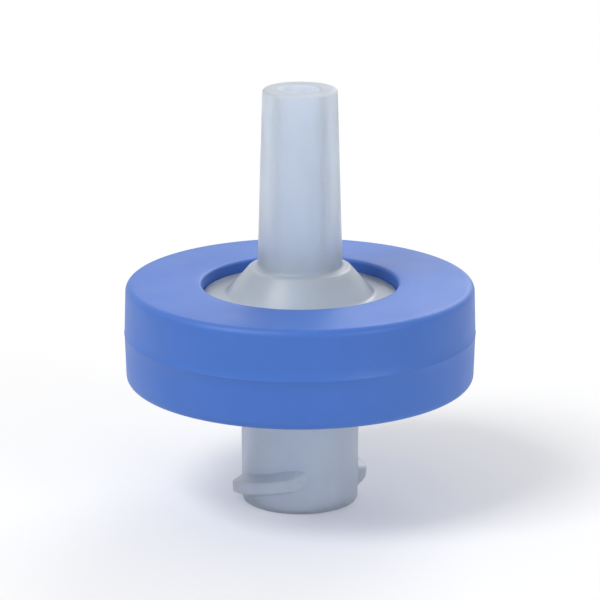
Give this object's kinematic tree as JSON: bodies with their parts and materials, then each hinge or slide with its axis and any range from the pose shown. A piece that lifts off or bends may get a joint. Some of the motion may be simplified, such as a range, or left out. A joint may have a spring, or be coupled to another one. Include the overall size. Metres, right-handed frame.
{
  "type": "syringe filter",
  "caption": "Disc filter with a luer lock socket on one side, a luer slip tip on the other, a clamped membrane inside and a moulded grip ring round its edge.",
  "frame": {"origin": "centre of the inlet's mouth, on the plane that the filter stands on", "axes": "+Z along the flow, from the luer lock inlet to the luer slip outlet; +X towards the start of one lug of the luer lock"},
  "size_m": [0.019, 0.019, 0.0228],
  "materials": {
    "natural_pp": "natural polypropylene, translucent and milky, satin",
    "blue_pp": "opaque blue polypropylene, satin moulded surface",
    "membrane": "white porous film, fully matt"
  },
  "bodies": {
    "root": {"inlet_housing": "natural_pp", "outlet_housing": "natural_pp", "membrane": "membrane", "grip_ring": "blue_pp"}
  },
  "joints": []
}
